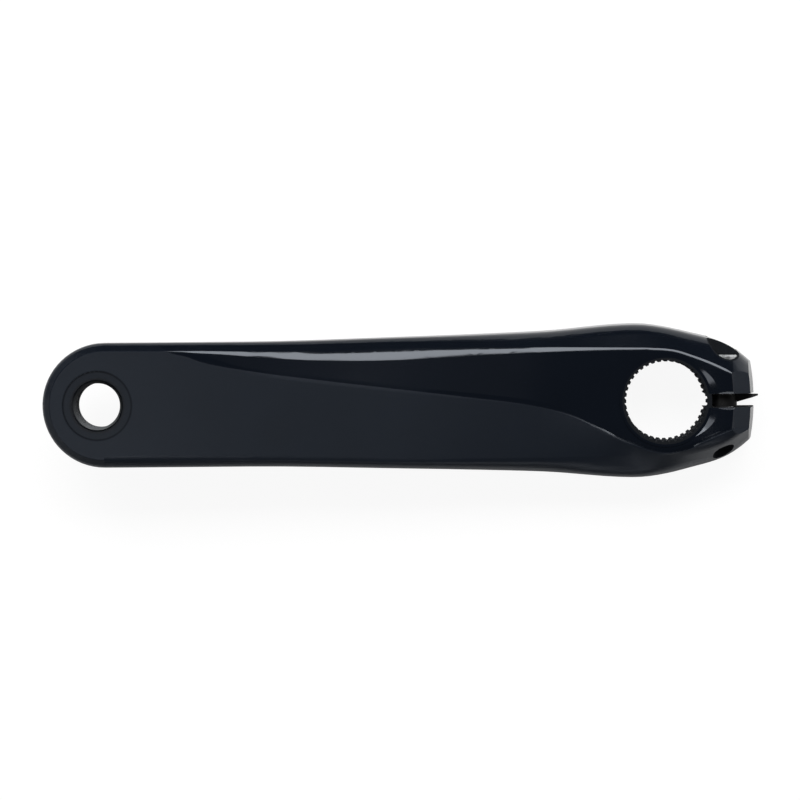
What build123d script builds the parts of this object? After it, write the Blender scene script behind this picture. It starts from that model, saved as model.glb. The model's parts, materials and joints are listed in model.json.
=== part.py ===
from build123d import *

# Left crank arm of a bicycle. It clamps on a splined spindle with two pinch bolts, and a stopper plate in
# the clamp's slit drops a peg into the spindle so that the arm can't work off.
# Millimetres. The origin is on the spindle axis at the arm's inboard face, +Z points outboard, and the arm
# runs from the spindle towards -X.

import os
from math import asin, cos, degrees, hypot, radians, sin, tan

os.makedirs("parts", exist_ok=True)

# Arm
crank_length = 165.0  # spindle axis to pedal axis
boss_thickness = 22.0  # inboard face to the land beside the slit
pedal_end_radius = 18.2
pedal_end_inset = 1.9  # the round end is centred this far inboard of the pedal axis
pedal_end_thickness = 13.0
pedal_offset = 5.3  # the pedal seat stands this far outboard of the clamp's land
waist_half_width = 18.2
thigh_half_width = 19.1
neck_half_width = 20.5
boss_wall = 10.5  # bore to the widest part of the boss
boss_peak_setback = 9.0  # the boss is widest this far before the spindle axis
cheek_taper = 3.4  # the boss narrows by this beside the bore
land_taper = 6.15  # by this at the land beside the slit
end_taper = 15.0  # and by this past the clamp's end
neck_length = 13.9  # from the boss to where the arm is slimmer than it
bore_dip = 1.45  # the front dips by this before the bore
bore_dip_end = 1.25  # and still by this beside it
thigh_back_share = 0.55  # of the pedal end's height over the inboard face, halfway along
thigh_front_share = 0.38  # of the pedal offset, halfway along
rim_width = 2.9  # bore to the crease round it

# Long facet on the front, from a tip near the pedal to the boss, between an upper edge and a ridge
facet_setback = 19.9  # round end's centre to the facet's tip
facet_tip_inset = 2.6
facet_tip_width = 0.3
facet_edge_inset = 4.1  # where the facet's upper edge is furthest in
facet_drop = 1.3  # the upper edge is lower than the ridge by this there
facet_thigh_drop = 1.9
facet_hip_drop = 0.8
ridge_waist_y = 9.85
ridge_thigh_y = 4.3
ridge_neck_y = -0.8
ridge_hip_y = -6.4
ridge_peak_share = 0.84  # of the crease's radius, where the boss is widest
crease_cheek_y = 11.85
crease_land_y = 8.3
crease_end_y = 3.2

# Upper flank: an edge band round the pedal end opens into a shoulder, and the side wall begins lower
band_width = 2.4
band_inset = 0.12
band_drop = 1.9
band_wall_drop = 4.8
shoulder_tip_drop = 2.0
shoulder_thigh_inset = 0.35
shoulder_thigh_drop = 5.1
shoulder_hip_drop = 4.7
shoulder_bore_drop = 4.3
shoulder_land_inset = 0.6
shoulder_land_drop = 5.3
shoulder_end_drop = 13.0
wall_tip_drop = 5.2
wall_thigh_drop = 10.0
wall_boss_drop = 17.5

# Lower flank: the edge band runs on as a narrow bevel and rolls over into the boss
bevel_thigh_inset = 2.0
bevel_neck_inset = 2.8
bevel_neck_drop = 1.1
bevel_boss_inset = 5.0
bevel_boss_drop = 2.3
bevel_bore_drop = 1.3
bevel_land_inset = 4.9
low_shoulder_neck_drop = 3.6
low_shoulder_bore_drop = 4.9
low_shoulder_land_drop = 10.2
low_wall_thigh_drop = 5.8
low_wall_neck_drop = 12.0

# Each rounding is the length that it takes from both faces. The back edges are bevelled in two steps.
back_inset = 0.6
back_edge_size = 3.2
band_round = 0.9
shoulder_thigh_round = 1.4
shoulder_boss_round = 3.2
bevel_round = 1.6
edge_band_round = 1.2
edge_tip_round = 0.35
edge_thigh_round = 1.9
edge_neck_round = 0.85
edge_bore_round = 0.4
edge_land_round = 0.55
ridge_round = 0.9

# Pedal hole, nine sixteenths of an inch, twenty turns to the inch, left hand
pedal_thread_radius = 7.14
pedal_chamfer = 0.4
pedal_seat_radius = 10.0
pedal_seat_depth = 0.35

# Splined bore
spline_root_radius = 12.0
spline_tooth_height = 0.5
spline_teeth = 40
spline_tip_share = 0.46  # of the pitch, at the tooth tip
spline_root_share = 0.30  # of the pitch, between two teeth
cap_seat_margin = 1.4  # flat ring round the bore that a preload cap closes on
cap_seat_depth = 1.2  # below the land
cap_seat_cone = 2.6  # width of the cone from the ring up to the land

# Pinch clamp
slit_width = 4.0
slit_chamfer = 0.6  # its width
slit_chamfer_depth = 0.34
bolt_radius = 3.0
bolt_bore_gap = 1.85  # bolt shank to the bore
bolt_end_wall = 6.4  # bolt shank to the end of the arm
rear_bolt_height = 5.8  # above the inboard face
bolt_spacing = 9.4
bolt_hole_clearance = 0.25
thread_clearance = 0.02
bolt_length = 19.0  # under the head
bolt_head_radius = 4.25
bolt_head_height = 5.2
bolt_head_chamfer = 0.45
bolt_socket_flats = 5.0
bolt_socket_depth = 3.0
bolt_tip_chamfer = 0.6
counterbore_clearance = 0.25
ear_thickness = 5.2  # slit wall to the washer's seat
washer_thickness = 0.8
washer_margin = 0.1  # washer's rim past the head's rim
end_bevel_length = 6.75
end_bevel_drop = 3.0
end_bevel_round = 1.5
end_edge_round = 2.6
end_draft = 1.65
end_bow = 65.0  # radius of the end, seen along the spindle

# Stopper plate
stopper_travel = 18.0  # degrees from released to latched
stopper_gap = 0.25  # plate to each slit wall
stopper_blade = 2.2  # thickness of the lever where the tab begins
stopper_hub_wall = 0.9
stopper_pivot_clearance = 0.08
stopper_bolt_gap = 0.35  # running gap to the inboard bolt
stopper_nose_angle = 32.0  # nose flank, from the line between the bolts
stopper_reach = 10.7  # pivot to the tip of the tab
stopper_tip_angle = 80.0
stopper_tip_thickness = 0.4
stopper_shoulder_reach = 8.4
stopper_near_angle = 60.0
stopper_far_angle = 99.0
stopper_root_angle = 118.0
stopper_corner_radius = 0.8
stopper_pin_radius = 0.6
stopper_pin_clearance = 0.01
stopper_pin_drop = 4.2  # below the pivot
stopper_pin_gap = 0.25  # peg to the bore while released
stopper_pin_seat = 1.6  # length of the peg inside the plate
stopper_button_radius = 0.8
stopper_button_height = 1.5
stopper_button_chamfer = 0.25

overrun = 1.0  # cutters run past the faces that they cut
loft_overrun = 6.0  # the body is lofted this far past its end and cut back

# Places that follow from the sizes above
spline_tip_radius = spline_root_radius - spline_tooth_height
boss_half_width = spline_root_radius + boss_wall
crease_radius = spline_root_radius + rim_width
bolt_x = spline_root_radius + bolt_bore_gap + bolt_radius
clamp_end_x = bolt_x + bolt_radius + bolt_end_wall
pedal_x = -crank_length
round_x = pedal_x + pedal_end_inset
pedal_front = boss_thickness + pedal_offset
pedal_back = pedal_front - pedal_end_thickness
slit_half = slit_width / 2
washer_seat_y = slit_half + ear_thickness
head_seat_y = washer_seat_y + washer_thickness
bolt_heights = [rear_bolt_height, rear_bolt_height + bolt_spacing]
far = 2 * crank_length


def between(start, end, share):
    """The place at this share of the way from start to end."""
    return start + (end - start) * share


# Places along the arm, from the pedal to the clamp
tip_x = round_x + facet_setback
neck_x = -boss_half_width - neck_length
waist_x = between(tip_x, neck_x, 0.2)
facet_x = between(tip_x, neck_x, 0.4)
thigh_x = between(tip_x, neck_x, 0.6)
hip_x = -boss_half_width
peak_x = -boss_peak_setback
cheek_x = crease_radius * cos(radians(45))
dip_x = -crease_radius / 3
dip_end_x = 0.8 * cheek_x
land_x = clamp_end_x - end_bevel_length - overrun
past_end_x = clamp_end_x + loft_overrun
bow_x = clamp_end_x - end_bow

# Guides along the arm: each knot is a place and the size there
half_width = [
    (round_x, pedal_end_radius),
    (waist_x, waist_half_width),
    (thigh_x, thigh_half_width),
    (neck_x, neck_half_width),
    (peak_x, boss_half_width),
    (cheek_x, boss_half_width - cheek_taper),
    (land_x, boss_half_width - land_taper),
    (past_end_x, boss_half_width - end_taper),
]
back_height = [
    (round_x, pedal_back),
    (thigh_x, thigh_back_share * pedal_back),
    (hip_x, 0),
    (peak_x, -overrun),
    (past_end_x, -overrun),
]
front_height = [
    (round_x, pedal_front),
    (thigh_x, between(boss_thickness, pedal_front, thigh_front_share)),
    (dip_x, boss_thickness - bore_dip),
    (dip_end_x, boss_thickness - bore_dip_end),
    (bolt_x, boss_thickness),
    (past_end_x, boss_thickness),
]
edge_y = [
    (round_x, pedal_end_radius - band_width),
    (tip_x, waist_half_width - facet_tip_inset),
    (facet_x, waist_half_width - facet_edge_inset),
    (neck_x, crease_radius + facet_tip_width),
    (peak_x, crease_radius + facet_tip_width),
    (0, crease_radius),
    (cheek_x, crease_cheek_y),
    (land_x, crease_land_y),
    (past_end_x, crease_end_y),
]
edge_drop = [
    (round_x, 0),
    (tip_x, 0),
    (facet_x, facet_drop),
    (thigh_x, facet_thigh_drop),
    (hip_x, facet_hip_drop),
    (0, 0),
    (past_end_x, 0),
]
ridge_y = [
    (round_x, pedal_end_radius - band_width - facet_tip_width),
    (tip_x, waist_half_width - facet_tip_inset - facet_tip_width),
    (waist_x, ridge_waist_y),
    (thigh_x, ridge_thigh_y),
    (neck_x, ridge_neck_y),
    (hip_x, ridge_hip_y),
    (peak_x, -ridge_peak_share * crease_radius),
    (0, -crease_radius),
    (cheek_x, -crease_cheek_y),
    (land_x, -crease_land_y),
    (past_end_x, -crease_end_y),
]
shoulder_inset = [
    (round_x, band_inset),
    (thigh_x, shoulder_thigh_inset),
    (0, shoulder_thigh_inset),
    (land_x, shoulder_land_inset),
    (past_end_x, shoulder_land_inset),
]
shoulder_drop = [
    (round_x, band_drop),
    (tip_x, shoulder_tip_drop),
    (thigh_x, shoulder_thigh_drop),
    (hip_x, shoulder_hip_drop),
    (0, shoulder_bore_drop),
    (land_x, shoulder_land_drop),
    (past_end_x, shoulder_end_drop),
]
wall_drop = [
    (round_x, band_wall_drop),
    (tip_x, wall_tip_drop),
    (thigh_x, wall_thigh_drop),
    (peak_x, wall_boss_drop),
    (past_end_x, wall_boss_drop),
]
bevel_inset = [
    (round_x, band_width),
    (thigh_x, bevel_thigh_inset),
    (neck_x, bevel_neck_inset),
    (peak_x, bevel_boss_inset),
    (land_x, bevel_land_inset),
    (past_end_x, bevel_land_inset),
]
bevel_drop = [
    (round_x, 0),
    (thigh_x, 0),
    (neck_x, bevel_neck_drop),
    (peak_x, bevel_boss_drop),
    (0, bevel_bore_drop),
    (past_end_x, bevel_bore_drop),
]
low_shoulder_drop = [
    (round_x, band_drop),
    (thigh_x, band_drop),
    (neck_x, low_shoulder_neck_drop),
    (0, low_shoulder_bore_drop),
    (land_x, low_shoulder_land_drop),
    (past_end_x, low_shoulder_land_drop),
]
low_wall_drop = [
    (round_x, band_wall_drop),
    (thigh_x, low_wall_thigh_drop),
    (neck_x, low_wall_neck_drop),
    (peak_x, wall_boss_drop),
    (past_end_x, wall_boss_drop),
]
shoulder_round = [
    (round_x, band_round),
    (thigh_x, shoulder_thigh_round),
    (hip_x, shoulder_boss_round),
    (past_end_x, shoulder_boss_round),
]
edge_round = [
    (round_x, edge_band_round),
    (tip_x, edge_tip_round),
    (thigh_x, edge_thigh_round),
    (neck_x, edge_neck_round),
    (0, edge_bore_round),
    (land_x, edge_land_round),
    (past_end_x, edge_land_round),
]


def along(guide, x):
    """A guide's smooth value at x, level at both its ends and at each knot that is a high or a low."""
    slopes = [0.0] * len(guide)
    for i in range(1, len(guide) - 1):
        before = (guide[i][1] - guide[i - 1][1]) / (guide[i][0] - guide[i - 1][0])
        after = (guide[i + 1][1] - guide[i][1]) / (guide[i + 1][0] - guide[i][0])
        if before * after > 0:
            slopes[i] = 2 * before * after / (before + after)
    i = max([k for k in range(len(guide) - 1) if guide[k][0] <= x], default=0)
    (x0, v0), (x1, v1) = guide[i], guide[i + 1]
    t = (x - x0) / (x1 - x0)
    return (
        v0 * (1 + 2 * t) * (1 - t) ** 2
        + v1 * t * t * (3 - 2 * t)
        + slopes[i] * (x1 - x0) * t * (1 - t) ** 2
        - slopes[i + 1] * (x1 - x0) * t * t * (1 - t)
    )


def arm_corners(x):
    """The corners (y, z, rounding) of the arm's section at x, from the lower back edge round the front."""
    half = along(half_width, x)
    back = along(back_height, x)
    front = along(front_height, x)
    shoulder = half - along(shoulder_inset, x)
    rounding = along(shoulder_round, x)
    step = back_edge_size * (1 - cos(radians(45)))
    side = half - back_inset
    back_edge = [
        (side, back + back_edge_size),
        (side - step, back + step),
        (side - back_edge_size, back),
    ]
    return [
        *[(-y, z, 0) for y, z in reversed(back_edge)],
        (-half, front - along(low_wall_drop, x), 0),
        (band_inset - half, front - along(low_shoulder_drop, x), rounding),
        (along(bevel_inset, x) - half, front - along(bevel_drop, x), bevel_round),
        (along(ridge_y, x), front, ridge_round),
        (along(edge_y, x), front - along(edge_drop, x), along(edge_round, x)),
        (shoulder, front - along(shoulder_drop, x), rounding),
        (half, front - along(wall_drop, x), 0),
        *[(y, z, 0) for y, z in back_edge],
    ]


def rounded_outline(corners):
    """Draw a closed outline through these corners, each rounded by its own length of both its sides."""
    side_share = 0.42  # the most of a side that one rounding takes
    starts, ends = [], []
    for i, (y, z, rounding) in enumerate(corners):
        sides = []
        for other_y, other_z, _ in (corners[i - 1], corners[(i + 1) % len(corners)]):
            length = hypot(other_y - y, other_z - z)
            sides.append(((other_y - y) / length, (other_z - z) / length, length))
        trim = min(rounding, side_share * sides[0][2], side_share * sides[1][2])
        starts.append((y + sides[0][0] * trim, z + sides[0][1] * trim))
        ends.append((y + sides[1][0] * trim, z + sides[1][1] * trim))
    for i, (y, z, rounding) in enumerate(corners):
        if rounding > 0:
            Bezier(starts[i], (y, z), ends[i])
        Line(ends[i], starts[(i + 1) % len(corners)])


def section_plane(x):
    """The plane across the arm at x, with Y to its right and Z up."""
    return Plane(origin=(x, 0, 0), x_dir=(0, 1, 0), z_dir=(1, 0, 0))


def bolt_plane(y):
    """The plane across the bolts at this y, with X to its right and Z down."""
    return Plane(origin=(bolt_x, y, 0), x_dir=(1, 0, 0), z_dir=(0, 1, 0))


bolt_places = [(0, -height) for height in bolt_heights]
bow_half_angle = 45.0  # the end's cut turns this far to both sides
arm_spans = 12  # from the facet's tip to the neck
boss_spans = 14  # from the neck to past the end
stations = [round_x, between(round_x, tip_x, 0.25), between(round_x, tip_x, 0.6)]
stations += [between(tip_x, neck_x, i / arm_spans) for i in range(arm_spans)]
stations += [between(neck_x, past_end_x, i / boss_spans) for i in range(boss_spans + 1)]

with BuildPart() as crank_arm:
    # The forged body: a loft along the arm, with a turned end round the pedal
    for x in stations:
        with BuildSketch(section_plane(x)):
            with BuildLine():
                rounded_outline(arm_corners(x))
            make_face()
    loft()
    with BuildSketch(section_plane(round_x)):
        with BuildLine():
            rounded_outline(arm_corners(round_x))
        make_face()
        with Locations((-far / 2, 0)):
            Rectangle(far, far, mode=Mode.SUBTRACT)
    revolve(axis=Axis((round_x, 0, 0), (0, 0, 1)), revolution_arc=180)

    # The flat inboard face that meets the bearing's spacer
    with Locations((0, 0, -far / 2)):
        Box(far, far, far, mode=Mode.SUBTRACT)

    # The clamp's end: a bevel off the land and a drafted end wall, both bowed outwards
    bow_turn = radians(bow_half_angle)
    bow_plane = Plane(
        origin=(bow_x, 0, 0),
        x_dir=(cos(bow_turn), -sin(bow_turn), 0),
        z_dir=(-sin(bow_turn), -cos(bow_turn), 0),
    )
    with BuildSketch(bow_plane) as end_profile:
        bevel_start = (end_bow - end_bevel_length, boss_thickness)
        bevel_end = (end_bow - end_draft, boss_thickness - end_bevel_drop)
        with BuildLine():
            Polyline(
                (bevel_start[0], boss_thickness + overrun),
                bevel_start,
                bevel_end,
                (end_bow, rear_bolt_height),
                (end_bow, -overrun),
                (far, -overrun),
                (far, boss_thickness + overrun),
                close=True,
            )
        make_face()
        for corner, rounding in [(bevel_start, end_bevel_round), (bevel_end, end_edge_round)]:
            place = bow_plane.from_local_coords(corner)
            fillet(end_profile.vertices().sort_by_distance(place)[0], rounding)
    revolve(axis=Axis((bow_x, 0, 0), (0, 0, 1)), revolution_arc=2 * bow_half_angle, mode=Mode.SUBTRACT)

    # Slit through the end, with a chamfer along both its outboard edges
    with BuildSketch(Plane.YZ):
        Rectangle(slit_width, far)
        Polygon(
            (slit_half, boss_thickness - slit_chamfer_depth),
            (slit_half + slit_chamfer, boss_thickness),
            (slit_half + slit_chamfer, boss_thickness + overrun),
            (-slit_half - slit_chamfer, boss_thickness + overrun),
            (-slit_half - slit_chamfer, boss_thickness),
            (-slit_half, boss_thickness - slit_chamfer_depth),
            align=None,
        )
    extrude(amount=far, mode=Mode.SUBTRACT)

    # Pinch-bolt holes: clearance and counterbore in the upper ear, thread in the lower ear
    for start_y, reach, radius in [
        (0, far, bolt_radius + bolt_hole_clearance),
        (washer_seat_y, far, bolt_head_radius + counterbore_clearance),
        (0, -far, bolt_radius + thread_clearance),
    ]:
        with BuildSketch(bolt_plane(start_y)):
            with Locations(*bolt_places):
                Circle(radius)
        extrude(amount=reach, mode=Mode.SUBTRACT)

    # Ring and cone round the bore, which a preload cap closes on. The ring stands proud where the front dips.
    ring_z = boss_thickness - cap_seat_depth
    ring_radius = spline_root_radius + cap_seat_margin
    with BuildSketch(Plane.XZ):
        with BuildLine():
            Polyline(
                (0, ring_z),
                (ring_radius, ring_z),
                (ring_radius + cap_seat_cone, boss_thickness),
                (ring_radius + cap_seat_cone, pedal_front),
                (0, pedal_front),
                close=True,
            )
        make_face()
    revolve(axis=Axis.Z, mode=Mode.SUBTRACT)
    with BuildSketch(Plane.XY.offset(ring_z - bore_dip)):
        Circle(ring_radius)
    extrude(amount=bore_dip)

    # Splined bore, drawn tooth by tooth
    pitch = 360 / spline_teeth
    tip_half = pitch * spline_tip_share / 2
    root_half = pitch * spline_root_share / 2
    with BuildSketch():
        with BuildLine():
            for tooth in range(spline_teeth):
                tip = tooth * pitch
                root = tip + pitch / 2
                tip_arc = CenterArc((0, 0), spline_tip_radius, tip - tip_half, 2 * tip_half)
                root_arc = CenterArc((0, 0), spline_root_radius, root - root_half, 2 * root_half)
                Line(tip_arc @ 1, root_arc @ 0)
                Line(root_arc @ 1, Vector(tip_arc @ 0).rotate(Axis.Z, pitch))
        make_face()
    extrude(amount=far, mode=Mode.SUBTRACT)

    # Pedal hole with a spot-faced seat and a chamfer at each end
    with BuildSketch(Plane.XZ):
        with BuildLine():
            seat_front = pedal_front - pedal_seat_depth
            mouth = pedal_thread_radius + pedal_chamfer
            Polyline(
                (pedal_x, pedal_back - overrun),
                (pedal_x + mouth + overrun, pedal_back - overrun),
                (pedal_x + pedal_thread_radius, pedal_back + pedal_chamfer),
                (pedal_x + pedal_thread_radius, seat_front - pedal_chamfer),
                (pedal_x + mouth, seat_front),
                (pedal_x + pedal_seat_radius, seat_front),
                (pedal_x + pedal_seat_radius, pedal_front + overrun),
                (pedal_x, pedal_front + overrun),
                close=True,
            )
        make_face()
    revolve(axis=Axis((pedal_x, 0, 0), (0, 0, 1)), mode=Mode.SUBTRACT)
crank_arm.part.label = "crank_arm"
export_step(crank_arm.part, "parts/crank_arm.step")

with BuildPart() as pinch_bolts:
    with BuildSketch(bolt_plane(head_seat_y)):
        with Locations(*bolt_places):
            Circle(bolt_head_radius)
    extrude(amount=bolt_head_height)
    with BuildSketch(bolt_plane(head_seat_y)):
        with Locations(*bolt_places):
            Circle(bolt_radius)
    extrude(amount=-bolt_length)
    with BuildSketch(bolt_plane(head_seat_y + bolt_head_height)):
        with Locations(*bolt_places):
            RegularPolygon(bolt_socket_flats / 2, 6, major_radius=False)
    extrude(amount=-bolt_socket_depth, mode=Mode.SUBTRACT)
    rims = pinch_bolts.edges().filter_by(GeomType.CIRCLE).group_by(Axis.Y)
    chamfer(rims[0], bolt_tip_chamfer)
    chamfer(rims[-1], bolt_head_chamfer)
pinch_bolts.part.label = "pinch_bolts"
export_step(pinch_bolts.part, "parts/pinch_bolts.step")

with BuildPart() as bolt_washers:
    with BuildSketch(bolt_plane(washer_seat_y)):
        with Locations(*bolt_places):
            Circle(bolt_head_radius + washer_margin)
            Circle(bolt_radius + bolt_hole_clearance, mode=Mode.SUBTRACT)
    extrude(amount=washer_thickness)
bolt_washers.part.label = "bolt_washers"
export_step(bolt_washers.part, "parts/bolt_washers.step")

# The plate is drawn from its pivot on the outboard bolt, with the inboard bolt straight up the drawing
plate_y = slit_half - stopper_gap
pivot_z = bolt_heights[-1]
plate_plane = Plane(origin=(bolt_x, plate_y, pivot_z), x_dir=(1, 0, 0), z_dir=(0, 1, 0))
nose_radius = bolt_spacing - bolt_radius - stopper_bolt_gap
lever_angle = degrees(asin((bolt_radius + stopper_bolt_gap) / bolt_spacing)) + stopper_travel


def polar(reach, angle):
    """A point of the plate at this reach from its pivot and this angle from the line between the bolts."""
    return (reach * sin(radians(angle)), reach * cos(radians(angle)))


with BuildPart() as stopper_plate:
    hub_radius = bolt_radius + stopper_pivot_clearance + stopper_hub_wall
    with BuildSketch(plate_plane):
        Circle(hub_radius)
        with BuildLine():
            Line((0, 0), polar(nose_radius, -stopper_nose_angle))
            ThreePointArc(
                polar(nose_radius, -stopper_nose_angle),
                polar(nose_radius, 0),
                polar(nose_radius, lever_angle),
            )
            Line(polar(nose_radius, lever_angle), (0, 0))
        make_face()
        Circle(bolt_radius + stopper_pivot_clearance, mode=Mode.SUBTRACT)
    extrude(amount=-2 * plate_y)
    # The lever is a blade along one wall of the slit, and its tab tapers to a point
    with BuildSketch(plate_plane) as lever:
        with BuildLine():
            Polyline(
                polar(hub_radius, lever_angle),
                polar(stopper_shoulder_reach, stopper_near_angle),
                polar(stopper_reach, stopper_tip_angle),
                polar(stopper_shoulder_reach, stopper_far_angle),
                polar(hub_radius, stopper_root_angle),
                close=True,
            )
        make_face()
        fillet(lever.vertices().sort_by(Axis.X)[-3:], stopper_corner_radius)
        Circle(bolt_radius + stopper_pivot_clearance, mode=Mode.SUBTRACT)
    extrude(amount=-stopper_blade)
    tab_start_x = bolt_x + hub_radius
    tab_end_x = bolt_x + polar(stopper_reach, stopper_tip_angle)[0]
    with BuildSketch():
        Polygon(
            (tab_start_x, plate_y - stopper_blade),
            (tab_end_x, plate_y - stopper_tip_thickness),
            (tab_end_x, -slit_half),
            (tab_start_x, -slit_half),
            align=None,
        )
    extrude(amount=far, both=True, mode=Mode.SUBTRACT)
    pin_plane = Plane(
        origin=(
            bolt_x - stopper_pin_drop * tan(radians(stopper_nose_angle)) + stopper_pin_seat,
            0,
            pivot_z - stopper_pin_drop,
        ),
        x_dir=(0, 1, 0),
        z_dir=(-1, 0, 0),
    )
    with BuildSketch(pin_plane):
        Circle(stopper_pin_radius + stopper_pin_clearance)
    extrude(amount=far, mode=Mode.SUBTRACT)
stopper_plate.part.label = "stopper_plate"
export_step(stopper_plate.part, "parts/stopper_plate.step")

with BuildPart() as stopper_pin:
    button_x = spline_root_radius + stopper_pin_gap + stopper_button_radius
    with Locations((button_x, 0, pin_plane.origin.Z)):
        Cylinder(stopper_button_radius, stopper_button_height)
    chamfer(stopper_pin.edges().filter_by(GeomType.CIRCLE), stopper_button_chamfer)
    with BuildSketch(pin_plane):
        Circle(stopper_pin_radius)
    extrude(amount=pin_plane.origin.X - button_x)
stopper_pin.part.label = "stopper_pin"
export_step(stopper_pin.part, "parts/stopper_pin.step")
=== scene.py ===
"""Dress a bicycle crank arm: its finishes, the thread in its pedal hole and a studio to see it in."""

import json
import math

import bmesh
import bpy
from bpy.props import FloatProperty, FloatVectorProperty, IntProperty, PointerProperty
from mathutils import Matrix, Vector


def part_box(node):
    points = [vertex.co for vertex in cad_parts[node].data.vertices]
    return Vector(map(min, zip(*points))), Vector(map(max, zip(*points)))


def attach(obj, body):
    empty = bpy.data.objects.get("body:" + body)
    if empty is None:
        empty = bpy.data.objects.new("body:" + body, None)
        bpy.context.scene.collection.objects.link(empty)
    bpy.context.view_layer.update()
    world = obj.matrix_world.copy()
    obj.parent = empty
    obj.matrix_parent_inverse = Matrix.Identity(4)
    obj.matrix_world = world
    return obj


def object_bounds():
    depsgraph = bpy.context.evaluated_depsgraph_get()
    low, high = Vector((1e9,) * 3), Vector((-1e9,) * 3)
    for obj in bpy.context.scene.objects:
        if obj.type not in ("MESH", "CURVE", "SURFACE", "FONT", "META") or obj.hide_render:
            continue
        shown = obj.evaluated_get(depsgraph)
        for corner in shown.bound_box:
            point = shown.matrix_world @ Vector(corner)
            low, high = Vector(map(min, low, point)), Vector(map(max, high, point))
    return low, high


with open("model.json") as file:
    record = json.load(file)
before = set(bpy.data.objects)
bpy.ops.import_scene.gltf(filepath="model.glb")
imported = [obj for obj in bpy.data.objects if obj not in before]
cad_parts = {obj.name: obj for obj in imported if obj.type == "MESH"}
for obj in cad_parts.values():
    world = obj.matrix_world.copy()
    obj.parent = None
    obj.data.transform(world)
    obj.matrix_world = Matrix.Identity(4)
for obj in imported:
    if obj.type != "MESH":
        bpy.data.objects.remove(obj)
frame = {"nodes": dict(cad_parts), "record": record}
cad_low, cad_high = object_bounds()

bl_info = {
    "name": "Crank Arm Dresser",
    "version": (1, 0, 0),
    "blender": (4, 5, 0),
    "location": "3D View > Sidebar > Crank Arm",
    "description": "Finishes, pedal thread and studio for a left bicycle crank arm",
    "category": "Object",
}

MM = 0.001  # metres in a millimetre
ARM_BODY = "arm"
ACROSS_Y = (1.0, 0.0, 1.0)  # the directions across an axis along Y
ACROSS_Z = (1.0, 1.0, 0.0)  # and across one along Z
WHITE = (1.0, 1.0, 1.0, 1.0)

# The pedal hole and the spindle's bore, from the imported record
mounts = {mount["name"]: mount for mount in frame["record"]["mounts"]}
pedal_axis = Vector(mounts["pedal_thread"]["pos_m"])
pedal_wall_radius = mounts["pedal_thread"]["dims"]["r_mm"] * MM
pedal_wall_length = mounts["pedal_thread"]["dims"]["length_mm"] * MM
# A ring of painted shade round the pedal hole's mouth reaches out to this radius, and the seat, with a
# painted shadow line along its edge, to the next
pedal_mouth_radius = pedal_wall_radius + 0.9 * MM
pedal_seat_radius = 10.0 * MM
spindle_axis = Vector(mounts["spindle_clamp"]["pos_m"])
spline_tip_radius = mounts["spindle_clamp"]["dims"]["r_mm"] * MM
bore_wall_radius = spline_tip_radius + 1.1 * MM

# The clamp's slit and bolt holes: the bolts run along Y, through the middles of their washers
washer_low, washer_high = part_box("bolt_washers")
washer_radius = (washer_high.x - washer_low.x) / 2
bolt_axes = [
    Vector((washer_low.x + washer_radius, 0.0, height))
    for height in (washer_low.z + washer_radius, washer_high.z - washer_radius)
]
bolt_hole_radius = washer_radius + 0.45 * MM
bolt_thread_radius = 3.08 * MM
slit_half_width = 2.05 * MM
slit_start_x = 0.9 * bore_wall_radius

# Lacquer lies above this line, which follows the ridge up to the flat end: (X, Y) in millimetres
GLOSS_LINE = [
    (-148.0, 18.5),
    (-143.2, 15.1),
    (-139.5, 14.2),
    (-134.0, 12.3),
    (-121.0, 9.8),
    (-100.0, 6.9),
    (-79.0, 4.3),
    (-58.0, 1.7),
    (-39.0, -0.9),
    (-29.0, -3.4),
    (-20.0, -7.4),
    (-9.0, -12.6),
    (0.0, -14.9),
    (5.0, -14.4),
    (10.5, -11.9),
    (19.1, -8.3),
]
gloss_start_x = GLOSS_LINE[0][0] * MM
gloss_end_x = 19.6 * MM


def linear(hex_colour):
    """The linear colour of an sRGB hex value such as #20242b."""
    parts = [int(hex_colour[i : i + 2], 16) / 255 for i in (1, 3, 5)]
    return tuple(c / 12.92 if c <= 0.04045 else ((c + 0.055) / 1.055) ** 2.4 for c in parts)


def per_metre(size_mm):
    """The texture scale that gives a pattern of this size in millimetres."""
    return 1 / (size_mm * MM)


def add(tree, kind, inputs=None, **settings):
    """Add a shader node with these settings, and set each input or link it to a node or a socket."""
    made = tree.nodes.new("ShaderNode" + kind)
    for name, value in settings.items():
        setattr(made, name, value)
    for name, value in (inputs or {}).items():
        if isinstance(value, bpy.types.Node):
            value = value.outputs[0]
        if isinstance(value, bpy.types.NodeSocket):
            tree.links.new(value, made.inputs[name])
        else:
            made.inputs[name].default_value = value
    return made


def new_material(name):
    """An empty node material of this name, and its tree."""
    material = bpy.data.materials.new(name)
    material.use_nodes = True
    material.node_tree.nodes.clear()
    return material, material.node_tree


def wear_finish(piece_name, material):
    """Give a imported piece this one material."""
    piece = frame["nodes"][piece_name]
    piece.data.materials.clear()
    piece.data.materials.append(material)


def link_mesh(scene, name, shape, material):
    """Turn a bmesh into an object of this name and material, and put it in the scene."""
    data = bpy.data.meshes.new(name)
    shape.to_mesh(data)
    shape.free()
    data.materials.append(material)
    made = bpy.data.objects.new(name, data)
    scene.collection.objects.link(made)
    return made


def colour_setting(name, description, hex_colour):
    """A colour that a user may change."""
    return FloatVectorProperty(
        name=name, description=description, subtype="COLOR", min=0.0, max=1.0, default=linear(hex_colour)
    )


def roughness_setting(name, description, roughness):
    """A roughness that a user may change."""
    return FloatProperty(
        name=name, description=description, subtype="FACTOR", min=0.0, max=1.0, default=roughness
    )


def length_setting(name, description, length):
    """A length that a user may change."""
    return FloatProperty(
        name=name, description=description, subtype="DISTANCE", unit="LENGTH", default=length
    )


def place_setting(name, description, place):
    """A place that a user may change."""
    return FloatVectorProperty(
        name=name, description=description, subtype="TRANSLATION", unit="LENGTH", default=place
    )


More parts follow.
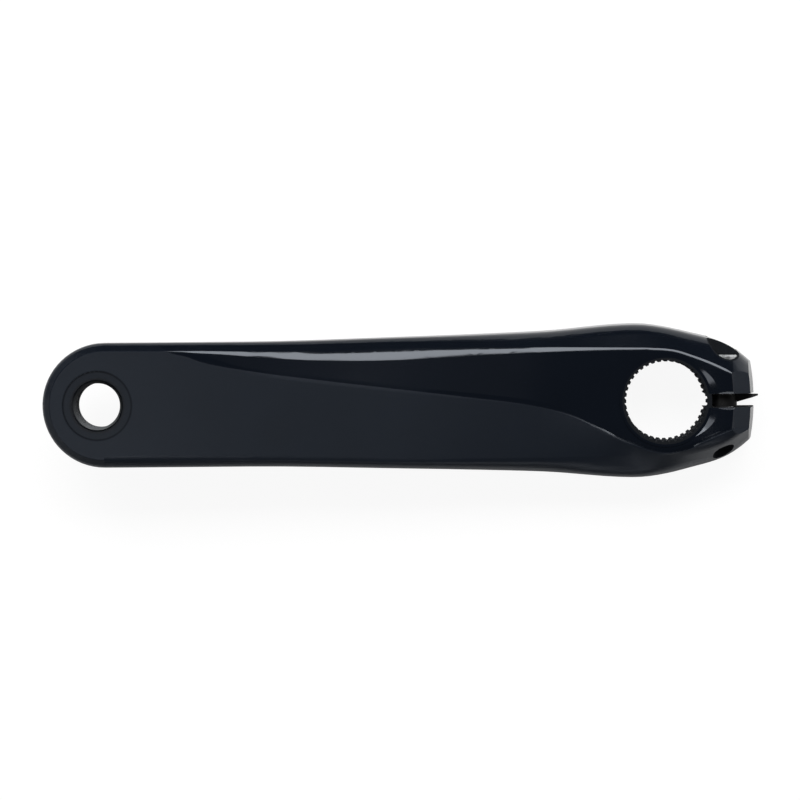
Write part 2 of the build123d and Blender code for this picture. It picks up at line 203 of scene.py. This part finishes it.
def power_setting(name, description, power):
    """A lamp's power that a user may change."""
    return FloatProperty(name=name, description=description, subtype="POWER", unit="POWER", default=power)


class ArmFinish(bpy.types.PropertyGroup):
    """Colours and gloss of the arm's two coats."""

    gloss_colour: colour_setting(
        "Gloss colour", "Lacquer on the long facet, the boss and the upper flank", "#090e16"
    )
    gloss_roughness: roughness_setting("Gloss roughness", "Roughness of the lacquer", 0.12)
    satin_colour: colour_setting(
        "Satin colour", "Blasted and anodised face, lower flank and pedal end", "#0d131c"
    )
    satin_roughness: roughness_setting("Satin roughness", "Roughness of the blasted face", 0.35)


class FittingFinish(bpy.types.PropertyGroup):
    """Colours and gloss of the steel, the plastic and the bare thread."""

    bolt_colour: colour_setting("Bolt colour", "Zinc plate of the pinch bolts", "#d9dbdd")
    washer_colour: colour_setting("Washer colour", "Zinc plate of the washers", "#b4b6b8")
    plate_roughness: roughness_setting("Plate roughness", "Roughness of the zinc plate", 0.34)
    peg_colour: colour_setting("Peg colour", "Bright steel of the stopper's peg", "#b9bbbd")
    peg_roughness: roughness_setting("Peg roughness", "Roughness of the peg", 0.22)
    stopper_colour: colour_setting("Stopper colour", "Plastic of the stopper plate", "#050506")
    thread_colour: colour_setting("Thread colour", "Bare metal of the pedal thread", "#4a4c4e")


class ThreadSizes(bpy.types.PropertyGroup):
    """Sizes of the thread in the pedal hole."""

    pitch: length_setting("Pitch", "Axial distance between two turns, 20 to the inch", 25.4 / 20 * MM)
    depth: length_setting("Depth", "Height of a turn above the plain wall", 0.687 * MM)
    steps: IntProperty(name="Steps", description="Sections made for each turn", min=12, default=72)


class StudioSettings(bpy.types.PropertyGroup):
    """Camera and lamps."""

    camera_place: place_setting("Camera place", "Where the camera stands", (-39 * MM, 35 * MM, 1122 * MM))
    camera_target: place_setting(
        "Camera target", "The point in the middle of the picture", (-77.2 * MM, 0.9 * MM, 22 * MM)
    )
    camera_roll: FloatProperty(
        name="Camera roll",
        description="Turn of the camera about its own line of sight",
        subtype="ANGLE",
        unit="ROTATION",
        default=math.radians(0.47),
    )
    lens: FloatProperty(
        name="Lens", description="Focal length in millimetres", unit="CAMERA", min=1.0, default=170.5
    )
    key_power: power_setting("Key power", "The long softbox beyond the arm's upper edge", 13.4)
    skirt_power: power_setting("Skirt power", "The dim panel that hangs from the softbox", 0.09)
    side_power: power_setting("Side power", "Each of the two cards beyond the pedal end", 0.43)
    face_power: power_setting("Face power", "The strip over the satin face", 0.36)
    slit_power: power_setting("Slit power", "The card that looks into the clamp's slit", 0.25)
    end_power: power_setting("End power", "The card beyond the clamp's flat end", 0.62)


def distance_from(tree, place, axis, across):
    """How far a place lies from an axis, counted in the directions across it."""
    offset = add(tree, "VectorMath", {0: place, 1: axis}, operation="SUBTRACT")
    flat = add(tree, "VectorMath", {0: offset, 1: across}, operation="MULTIPLY")
    return add(tree, "VectorMath", {0: flat}, operation="LENGTH").outputs["Value"]


def height_over_line(tree, axes):
    """How far a place lies above the line between the coats, along Y."""
    first_x, last_x = gloss_start_x, GLOSS_LINE[-1][0] * MM
    low_y = min(y for _, y in GLOSS_LINE) * MM
    high_y = max(y for _, y in GLOSS_LINE) * MM
    shares = [
        ((x * MM - first_x) / (last_x - first_x), (y * MM - low_y) / (high_y - low_y))
        for x, y in GLOSS_LINE
    ]
    along = add(tree, "MapRange", {"Value": axes.outputs["X"], "From Min": first_x, "From Max": last_x})
    line = add(tree, "FloatCurve", {"Value": along})
    points = line.mapping.curves[0].points
    points[0].location = shares[0]
    for share in shares[1:-1]:
        points.new(*share)
    points[-1].location = shares[-1]
    line.mapping.update()
    line_y = add(tree, "MapRange", {"Value": line, "To Min": low_y, "To Max": high_y})
    return add(tree, "Math", {0: axes.outputs["Y"], 1: line_y}, operation="SUBTRACT")


def lacquer_share(tree, axes, facing, above):
    """1 on the lacquer: above the line, along the whole upper flank and over the clamp's flat end."""
    feather = 0.15 * MM
    flank_from, flank_to = 0.5, 0.7  # the normal's Y, where the upper flank's lacquer starts and is full
    end_from, end_to = 0.8, 0.9  # the normal's X, likewise on the flat end
    x = axes.outputs["X"]
    over_line = add(tree, "MapRange", {"Value": above, "From Min": -feather, "From Max": feather})
    past_start = add(
        tree,
        "MapRange",
        {"Value": x, "From Min": gloss_start_x - feather, "From Max": gloss_start_x + feather},
    )
    before_end = add(
        tree,
        "MapRange",
        {
            "Value": x,
            "From Min": gloss_end_x - feather,
            "From Max": gloss_end_x + feather,
            "To Min": 1.0,
            "To Max": 0.0,
        },
    )
    along = add(tree, "Math", {0: past_start, 1: before_end}, operation="MULTIPLY")
    face = add(tree, "Math", {0: over_line, 1: along}, operation="MULTIPLY")
    flank = add(
        tree, "MapRange", {"Value": facing.outputs["Y"], "From Min": flank_from, "From Max": flank_to}
    )
    end = add(tree, "MapRange", {"Value": facing.outputs["X"], "From Min": end_from, "From Max": end_to})
    sides = add(tree, "Math", {0: flank, 1: end}, operation="MAXIMUM")
    return add(tree, "Math", {0: face, 1: sides}, operation="MAXIMUM")


def hole_share(tree, place, axes):
    """1 on the walls of the bore, the slit and the bolt holes."""
    from_spindle = distance_from(tree, place, spindle_axis, ACROSS_Z)
    in_bore = add(tree, "Math", {0: from_spindle, 1: bore_wall_radius}, operation="LESS_THAN")
    off_middle = add(tree, "Math", {0: axes.outputs["Y"]}, operation="ABSOLUTE")
    near_middle = add(tree, "Math", {0: off_middle, 1: slit_half_width}, operation="LESS_THAN")
    past_bore = add(tree, "Math", {0: axes.outputs["X"], 1: slit_start_x}, operation="GREATER_THAN")
    in_slit = add(tree, "Math", {0: near_middle, 1: past_bore}, operation="MULTIPLY")
    inside = add(tree, "Math", {0: in_bore, 1: in_slit}, operation="MAXIMUM")

    # A bolt's hole is wide on the head's side of the slit and narrow on the thread's side
    hole_radius = add(
        tree,
        "MapRange",
        {
            "Value": axes.outputs["Y"],
            "From Max": slit_half_width,
            "To Min": bolt_thread_radius,
            "To Max": bolt_hole_radius,
        },
    )
    for axis in bolt_axes:
        from_bolt = distance_from(tree, place, axis, ACROSS_Y)
        in_hole = add(tree, "Math", {0: from_bolt, 1: hole_radius}, operation="LESS_THAN")
        inside = add(tree, "Math", {0: inside, 1: in_hole}, operation="MAXIMUM")
    return inside


def pedal_seat_shares(tree, place):
    """Shares of the faced seat round the pedal hole, of a painted shade ring at the hole's mouth and of a
    painted shadow line along the seat's edge.
    """
    # The painted shadow line along the seat's edge: its half width, and how much shade it paints at its
    # middle
    shadow_line_half_width = 0.45 * MM
    shadow_line_depth = 0.55
    from_pedal = distance_from(tree, place, pedal_axis, ACROSS_Z)
    seat = add(tree, "Math", {0: from_pedal, 1: pedal_seat_radius}, operation="LESS_THAN")
    mouth = add(tree, "Math", {0: from_pedal, 1: pedal_mouth_radius}, operation="LESS_THAN")
    past_edge = add(tree, "Math", {0: from_pedal, 1: pedal_seat_radius}, operation="SUBTRACT")
    off_edge = add(tree, "Math", {0: past_edge}, operation="ABSOLUTE")
    edge = add(
        tree,
        "MapRange",
        {"Value": off_edge, "From Max": shadow_line_half_width, "To Min": shadow_line_depth, "To Max": 0.0},
    )
    return seat, mouth, edge


def crisp_edge_share(tree, axes, facing):
    """1 along the edge of the face round the pedal end, which is too crisp to catch the light."""
    edge_from, edge_to = 0.05, 0.15  # the normal's Y, from the flat face to its edge
    band_from, band_to = 0.72, 0.84  # the normal's Z, from the flank to that edge
    fade_from, fade_to = -146 * MM, -138 * MM  # X, over which the edge grows softer towards the long facet
    off_face = add(
        tree, "MapRange", {"Value": facing.outputs["Y"], "From Min": edge_from, "From Max": edge_to}
    )
    off_flank = add(
        tree, "MapRange", {"Value": facing.outputs["Z"], "From Min": band_from, "From Max": band_to}
    )
    at_end = add(
        tree,
        "MapRange",
        {
            "Value": axes.outputs["X"],
            "From Min": fade_from,
            "From Max": fade_to,
            "To Min": 1.0,
            "To Max": 0.0,
        },
    )
    edge = add(tree, "Math", {0: off_face, 1: off_flank}, operation="MULTIPLY")
    return add(tree, "Math", {0: edge, 1: at_end}, operation="MULTIPLY")


def coat_step(tree, axes, above):
    """Height of the blasted face over the lacquer near the boss: a fine step that catches the key light."""
    half_width = 0.28 * MM
    least = 0.3  # of the step's height, under the bore
    grow_from, grow_to = -36 * MM, -16 * MM  # X, over which it grows towards the boss,
    sink_from, sink_to = -10 * MM, -2 * MM  # sinks under the bore
    lift_from, lift_to = 4 * MM, 12 * MM  # and is full again round the lower ear
    x = axes.outputs["X"]
    proud = add(
        tree,
        "MapRange",
        {"Value": above, "From Min": -half_width, "From Max": half_width, "To Min": 1.0, "To Max": 0.0},
    )
    growing = add(tree, "MapRange", {"Value": x, "From Min": grow_from, "From Max": grow_to})
    sinking = add(
        tree,
        "MapRange",
        {"Value": x, "From Min": sink_from, "From Max": sink_to, "To Min": 1.0, "To Max": least},
    )
    lifting = add(
        tree,
        "MapRange",
        {"Value": x, "From Min": lift_from, "From Max": lift_to, "To Min": least, "To Max": 1.0},
    )
    dip = add(tree, "Math", {0: sinking, 1: lifting}, operation="MAXIMUM")
    stretch = add(tree, "Math", {0: growing, 1: dip}, operation="MULTIPLY")
    return add(tree, "Math", {0: proud, 1: stretch}, operation="MULTIPLY")


def black_lacquer_over_blasted_aluminium(finish):
    """The arm's two coats, and the bare walls in its holes."""
    # Lacquer mirrors the lamps as long clean strips on blue-black. The blasted and anodised face scatters
    # them to an even slate grey, and the walls that the cutting tools left are dull, with painted shade that
    # makes them nearly black
    pit_size = 0.45  # millimetres, several times coarser than blasting leaves them, so that they show
    pit_strength = 0.10
    pit_depth = 0.02 * MM
    cloud_size = 14.0  # millimetres
    cloud_low, cloud_high = 0.3, 0.7
    cloud_shade = 0.06
    # Painted shade for the holes, the pedal hole's mouth and the seat's edge line; the faced seat's own
    # darker tone
    painted_shade_tone, seat_shade = 0.35, 0.75
    seat_smoothing = 0.05
    step_height = 0.22 * MM
    glint_full, glint_least = 0.5, 0.05
    coat_ior = 1.5
    cool_tint = (0.85, 0.91, 1.0, 1.0)

    material, tree = new_material("black_lacquer_over_blasted_aluminium")
    coordinates = add(tree, "TexCoord")
    place = coordinates.outputs["Object"]
    axes = add(tree, "SeparateXYZ", {0: place})
    facing = add(tree, "SeparateXYZ", {0: coordinates.outputs["Normal"]})
    above = height_over_line(tree, axes)
    gloss = lacquer_share(tree, axes, facing, above)
    inside = hole_share(tree, place, axes)
    seat, mouth, seat_shadow_line = pedal_seat_shares(tree, place)

    # Colour: the two coats, faintly clouded, darker on the faced seat, and darkest with painted shade in the
    # holes, in a ring at the pedal hole's mouth and in a line along the seat's edge
    coats = add(
        tree,
        "Mix",
        {"Factor": gloss, "A": (*finish.satin_colour, 1.0), "B": (*finish.gloss_colour, 1.0)},
        data_type="RGBA",
    )
    clouds = add(tree, "TexNoise", {"Vector": place, "Scale": per_metre(cloud_size), "Detail": 3.0})
    clouded = add(
        tree,
        "MapRange",
        {
            "Value": clouds,
            "From Min": cloud_low,
            "From Max": cloud_high,
            "To Min": 1 - cloud_shade,
            "To Max": 1 + cloud_shade,
        },
    )
    # Painted shade: the walls of the holes, a ring at the pedal hole's mouth and a line along the seat's edge
    # are darkened as if in shadow
    rim_painted_shade = add(tree, "Math", {0: mouth, 1: seat_shadow_line}, operation="MAXIMUM")
    dark = add(tree, "Math", {0: inside, 1: rim_painted_shade}, operation="MAXIMUM")
    in_hole = add(tree, "MapRange", {"Value": dark, "To Min": 1.0, "To Max": painted_shade_tone})
    on_seat = add(tree, "MapRange", {"Value": seat, "To Min": 1.0, "To Max": seat_shade})
    shade = add(tree, "Math", {0: in_hole, 1: on_seat}, operation="MULTIPLY")
    tone = add(tree, "Math", {0: clouded, 1: shade}, operation="MULTIPLY")
    colour = add(tree, "VectorMath", {0: coats.outputs["Result"], "Scale": tone}, operation="SCALE")

    # Gloss: lacquer, blasted face and faced seat each have their own, and the holes have none
    seat_roughness = finish.satin_roughness - seat_smoothing
    satin = add(tree, "MapRange", {"Value": seat, "To Min": finish.satin_roughness, "To Max": seat_roughness})
    outside = add(tree, "MapRange", {"Value": gloss, "To Min": satin, "To Max": finish.gloss_roughness})
    roughness = add(tree, "Math", {0: outside, 1: inside}, operation="MAXIMUM")
    crisp = crisp_edge_share(tree, axes, facing)
    dull = add(tree, "Math", {0: crisp, 1: seat_shadow_line}, operation="MAXIMUM")
    glint = add(tree, "MapRange", {"Value": dull, "To Min": glint_full, "To Max": glint_least})

    # Relief: the blasted pits, which the lacquer fills, and the step between the coats
    pits = add(tree, "TexNoise", {"Vector": place, "Scale": per_metre(pit_size), "Detail": 2.0})
    pitting = add(tree, "MapRange", {"Value": gloss, "To Min": pit_strength, "To Max": 0.0})
    pitted = add(tree, "Bump", {"Height": pits, "Strength": pitting, "Distance": pit_depth})
    step = coat_step(tree, axes, above)
    stepped = add(
        tree, "Bump", {"Height": step, "Strength": 1.0, "Distance": step_height, "Normal": pitted}
    )
    surface = add(
        tree,
        "BsdfPrincipled",
        {
            "Base Color": colour,
            "Roughness": roughness,
            "Normal": stepped,
            "IOR": coat_ior,
            "Specular IOR Level": glint,
            "Specular Tint": cool_tint,
        },
    )
    add(tree, "OutputMaterial", {"Surface": surface})
    return material


def bright_steel(name, colour, mean_roughness):
    """Steel of this colour, with the marks of its making."""
    # Pale and cool, with highlights that the marks break up
    mark_size = 0.6  # millimetres, coarser than real tool marks, so that they show
    roughness_spread = 0.08
    mark_shade = 0.85
    material, tree = new_material(name)
    place = add(tree, "TexCoord").outputs["Object"]
    marks = add(tree, "TexNoise", {"Vector": place, "Scale": per_metre(mark_size), "Detail": 3.0})
    rough = add(
        tree,
        "MapRange",
        {
            "Value": marks,
            "To Min": mean_roughness - roughness_spread,
            "To Max": mean_roughness + roughness_spread,
        },
    )
    marked = [part * mark_shade for part in colour]
    tint = add(tree, "Mix", {"Factor": marks, "A": (*marked, 1.0), "B": (*colour, 1.0)}, data_type="RGBA")
    surface = add(
        tree, "BsdfPrincipled", {"Base Color": tint.outputs["Result"], "Metallic": 1.0, "Roughness": rough}
    )
    add(tree, "OutputMaterial", {"Surface": surface})
    return material


def moulded_black_acetal(colour):
    """The stopper plate's plastic."""
    # Nearly black, with a soft dull sheen and no clear highlight
    grain_size = 0.35  # millimetres, coarser than the mould's grain, so that it shows
    grain_strength = 0.2
    grain_depth = 0.02 * MM
    smoothest, roughest = 0.48, 0.62
    acetal_ior = 1.48
    sheen_level = 0.25
    material, tree = new_material("moulded_black_acetal")
    place = add(tree, "TexCoord").outputs["Object"]
    grain = add(tree, "TexNoise", {"Vector": place, "Scale": per_metre(grain_size), "Detail": 2.0})
    rough = add(tree, "MapRange", {"Value": grain, "To Min": smoothest, "To Max": roughest})
    grained = add(tree, "Bump", {"Height": grain, "Strength": grain_strength, "Distance": grain_depth})
    surface = add(
        tree,
        "BsdfPrincipled",
        {
            "Base Color": (*colour, 1.0),
            "Roughness": rough,
            "Normal": grained,
            "IOR": acetal_ior,
            "Specular IOR Level": sheen_level,
        },
    )
    add(tree, "OutputMaterial", {"Surface": surface})
    return material


def cut_bare_aluminium(colour):
    """The pedal thread's bare metal, as the tap left it."""
    # Grey and dull, but lighter than the coat round it
    mark_size = 0.5  # millimetres, coarser than a tap's marks, so that they show
    smoothest, roughest = 0.5, 0.65
    material, tree = new_material("cut_bare_aluminium")
    place = add(tree, "TexCoord").outputs["Object"]
    marks = add(tree, "TexNoise", {"Vector": place, "Scale": per_metre(mark_size), "Detail": 3.0})
    rough = add(tree, "MapRange", {"Value": marks, "To Min": smoothest, "To Max": roughest})
    surface = add(
        tree, "BsdfPrincipled", {"Base Color": (*colour, 1.0), "Metallic": 1.0, "Roughness": rough}
    )
    add(tree, "OutputMaterial", {"Surface": surface})
    return material


def white_paper_sweep(rise):
    """The floor's paper, which curves up to this height."""
    # An even white that keeps the arm's soft shadow, and a dim floor where polished surfaces mirror it
    fill_paper = (0.8, 0.8, 0.8, 1.0)  # for the light that it throws back on the arm
    seen_paper, seen_glow = 0.12, 0.92  # for the camera
    mirrored_paper, mirrored_glow = 0.7, 0.12  # for reflections, with a glow that fades up the curve
    material, tree = new_material("white_paper_sweep")
    rays = add(tree, "LightPath")
    by_camera = rays.outputs["Is Camera Ray"]
    filling = add(tree, "BsdfDiffuse", {"Color": fill_paper})
    paper = add(tree, "MapRange", {"Value": by_camera, "To Min": mirrored_paper, "To Max": seen_paper})
    lit = add(tree, "BsdfDiffuse", {"Color": paper})
    axes = add(tree, "SeparateXYZ", {0: add(tree, "TexCoord").outputs["Object"]})
    fading = add(
        tree,
        "MapRange",
        {"Value": axes.outputs["Z"], "From Max": rise, "To Min": mirrored_glow, "To Max": 0.0},
        interpolation_type="SMOOTHSTEP",
    )
    strength = add(tree, "Mix", {"Factor": by_camera, "A": fading, "B": seen_glow}, data_type="FLOAT")
    glow = add(tree, "Emission", {"Color": WHITE, "Strength": strength})
    shown = add(tree, "AddShader", {0: lit, 1: glow})
    seen = add(tree, "Math", {0: by_camera, 1: rays.outputs["Is Glossy Ray"]}, operation="MAXIMUM")
    by_eye = add(tree, "Math", {0: seen, 1: rays.outputs["Is Transmission Ray"]}, operation="MAXIMUM")
    surface = add(tree, "MixShader", {0: by_eye, 1: filling, 2: shown})
    add(tree, "OutputMaterial", {"Surface": surface})
    return material


def thread_ridge(sizes):
    """A bmesh of the left-hand ridge on the wall of the pedal hole, from its outer face inwards."""
    run_out = 0.3  # of a turn, in which the ridge's ends fade into the wall
    least_height = 0.02  # of the full height, at those ends
    sunk = 0.03 * MM  # the ridge's foot lies this far inside the wall
    foot_half = 7 / 16 * sizes.pitch
    crest_half = 1 / 8 * sizes.pitch
    turns = (pedal_wall_length - 2 * foot_half) / sizes.pitch
    foot = pedal_wall_radius + sunk
    ridge = bmesh.new()
    rings = []
    for i in range(int(turns * sizes.steps) + 1):
        turn = i / sizes.steps
        height = max(min(1.0, turn / run_out, (turns - turn) / run_out), least_height)
        crest = foot - height * (sizes.depth + sunk)
        angle = 2 * math.pi * turn
        middle = pedal_axis.z - foot_half - turn * sizes.pitch
        outline = [(foot, foot_half), (crest, crest_half), (crest, -crest_half), (foot, -foot_half)]
        ring = []
        for radius, rise in outline:
            x = pedal_axis.x + radius * math.cos(angle)
            y = pedal_axis.y + radius * math.sin(angle)
            ring.append(ridge.verts.new((x, y, middle + rise)))
        rings.append(ring)
    for ring, after in zip(rings, rings[1:]):
        for k in range(4):
            ridge.faces.new((ring[k], ring[(k + 1) % 4], after[(k + 1) % 4], after[k]))
    ridge.faces.new(rings[0][::-1])
    ridge.faces.new(rings[-1])
    bmesh.ops.recalc_face_normals(ridge, faces=ridge.faces)
    return ridge


def lay_paper(scene):
    """A round paper floor under the arm, which curves up into a low wall."""
    profile = [(0.6, 0.0), (2.6, 0.0), (2.8, 0.03), (2.93, 0.14), (3.0, 0.35), (3.0, 0.8)]  # radius, height
    steps = 96
    sweep = bmesh.new()
    rings = []
    for radius, height in profile:
        ring = []
        for k in range(steps):
            angle = 2 * math.pi * k / steps
            ring.append(sweep.verts.new((radius * math.cos(angle), radius * math.sin(angle), height)))
        rings.append(ring)
    sweep.faces.new(rings[0])
    for ring, after in zip(rings, rings[1:]):
        for k in range(steps):
            sweep.faces.new((ring[k], after[k], after[(k + 1) % steps], ring[(k + 1) % steps]))
    rise = profile[-1][1]
    floor = link_mesh(scene, "paper_sweep", sweep, white_paper_sweep(rise))
    floor.location.z = cad_low.z


def darken_room(scene):
    """A dark studio, the same for every ray."""
    room_light = 0.05
    world = bpy.data.worlds.new("studio_room")
    world.use_nodes = True
    world.node_tree.nodes.clear()
    room = add(world.node_tree, "Background", {"Color": WHITE, "Strength": room_light})
    add(world.node_tree, "OutputWorld", {"Surface": room})
    scene.world = world


def hang_lamps(scene, studio):
    """A softbox and its skirt, two cards for the bore's cone, and a lamp each for face, slit and end."""
    middle = (cad_low + cad_high) / 2
    # Each lamp's place from the arm's middle and its size, in metres, and its power
    lamps = [
        ("key_softbox", (0.0, 0.663, 0.749), (1.3, 0.5), studio.key_power),
        ("key_skirt", (0.0, 0.30, 0.95), (1.3, 0.34), studio.skirt_power),
        ("side_card_low", (-0.52, -0.39, 0.7), (0.22, 0.22), studio.side_power),
        ("side_card_high", (-0.55, 0.35, 0.7), (0.22, 0.22), studio.side_power),
        ("face_strip", (-0.2, -0.21, 0.98), (0.3, 0.16), studio.face_power),
        ("slit_card", (0.15, -0.8, 0.5), (0.25, 0.1), studio.slit_power),
        ("end_card", (0.95, 0.0, 0.34), (0.9, 0.36), studio.end_power),
    ]
    for name, place, size, power in lamps:
        lamp = bpy.data.lights.new(name, "AREA")
        lamp.shape = "RECTANGLE"
        lamp.size, lamp.size_y = size
        lamp.energy = power
        stand = bpy.data.objects.new(name, lamp)
        stand.location = middle + Vector(place)
        stand.rotation_euler = (middle - stand.location).to_track_quat("-Z", "Y").to_euler()
        scene.collection.objects.link(stand)


def stand_camera(scene, studio):
    """A camera high over the arm, a little beyond its upper edge."""
    camera_data = bpy.data.cameras.new("camera")
    camera_data.lens = studio.lens
    camera = bpy.data.objects.new("camera", camera_data)
    scene.collection.objects.link(camera)
    sight = (Vector(studio.camera_target) - Vector(studio.camera_place)).normalized()
    up = Vector((math.sin(studio.camera_roll), math.cos(studio.camera_roll), 0.0))
    right = sight.cross(up).normalized()
    turn = Matrix((right, right.cross(sight), -sight)).transposed()
    camera.matrix_world = Matrix.Translation(studio.camera_place) @ turn.to_4x4()
    scene.camera = camera


class CRANK_OT_coat_arm(bpy.types.Operator):
    """Coat the forged arm: gloss lacquer above the ridge, blasted satin below it"""

    bl_idname = "crank.coat_arm"
    bl_label = "Coat the arm"

    def execute(self, context):
        wear_finish("crank_arm", black_lacquer_over_blasted_aluminium(context.scene.crank_finish))
        return {"FINISHED"}


class CRANK_OT_plate_steel(bpy.types.Operator):
    """Plate the bolts and washers, and polish the peg"""

    bl_idname = "crank.plate_steel"
    bl_label = "Plate the steel"

    def execute(self, context):
        finish = context.scene.crank_fittings
        # Zinc gives the turned bolts a bright, soft grey and the stamped washers a darker one, and the drawn
        # peg has a clearer shine
        steels = {
            "pinch_bolts": ("zinc_plated_turned_steel", finish.bolt_colour, finish.plate_roughness),
            "bolt_washers": ("zinc_plated_stamped_steel", finish.washer_colour, finish.plate_roughness),
            "stopper_pin": ("drawn_bright_steel", finish.peg_colour, finish.peg_roughness),
        }
        for piece_name, (name, colour, roughness) in steels.items():
            wear_finish(piece_name, bright_steel(name, colour, roughness))
        return {"FINISHED"}


class CRANK_OT_mould_stopper(bpy.types.Operator):
    """Give the stopper plate its moulded black plastic"""

    bl_idname = "crank.mould_stopper"
    bl_label = "Mould the stopper"

    def execute(self, context):
        wear_finish("stopper_plate", moulded_black_acetal(context.scene.crank_fittings.stopper_colour))
        return {"FINISHED"}


class CRANK_OT_cut_thread(bpy.types.Operator):
    """Cut the left-hand thread in the pedal hole"""

    bl_idname = "crank.cut_thread"
    bl_label = "Cut the pedal thread"

    def execute(self, context):
        scene = context.scene
        metal = cut_bare_aluminium(scene.crank_fittings.thread_colour)
        thread = link_mesh(scene, "pedal_thread", thread_ridge(scene.crank_thread), metal)
        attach(thread, ARM_BODY)
        return {"FINISHED"}


class CRANK_OT_set_stage(bpy.types.Operator):
    """Set the floor, the room, the lamps and the camera"""

    bl_idname = "crank.set_stage"
    bl_label = "Set the stage"

    def execute(self, context):
        scene = context.scene
        scene.view_settings.view_transform = "Standard"
        lay_paper(scene)
        darken_room(scene)
        hang_lamps(scene, scene.crank_studio)
        stand_camera(scene, scene.crank_studio)
        return {"FINISHED"}


class CRANK_PT_dresser(bpy.types.Panel):
    """The dresser's steps and settings"""

    bl_idname = "CRANK_PT_dresser"
    bl_label = "Crank Arm"
    bl_space_type = "VIEW_3D"
    bl_region_type = "UI"
    bl_category = "Crank Arm"

    def draw(self, context):
        for step in STEPS:
            self.layout.operator(step.bl_idname)
        for group, kind in SETTINGS.items():
            settings = getattr(context.scene, group)
            for name in kind.__annotations__:
                self.layout.prop(settings, name)


STEPS = (
    CRANK_OT_coat_arm,
    CRANK_OT_plate_steel,
    CRANK_OT_mould_stopper,
    CRANK_OT_cut_thread,
    CRANK_OT_set_stage,
)
SETTINGS = {
    "crank_finish": ArmFinish,
    "crank_fittings": FittingFinish,
    "crank_thread": ThreadSizes,
    "crank_studio": StudioSettings,
}


def register():
    for group, kind in SETTINGS.items():
        bpy.utils.register_class(kind)
        setattr(bpy.types.Scene, group, PointerProperty(type=kind))
    for kind in (*STEPS, CRANK_PT_dresser):
        bpy.utils.register_class(kind)


def unregister():
    for kind in (CRANK_PT_dresser, *reversed(STEPS)):
        bpy.utils.unregister_class(kind)
    for group, kind in SETTINGS.items():
        delattr(bpy.types.Scene, group)
        bpy.utils.unregister_class(kind)


def main():
    register()
    bpy.ops.crank.coat_arm()
    bpy.ops.crank.plate_steel()
    bpy.ops.crank.mould_stopper()
    bpy.ops.crank.cut_thread()
    bpy.ops.crank.set_stage()


if __name__ == "__main__":
    main()
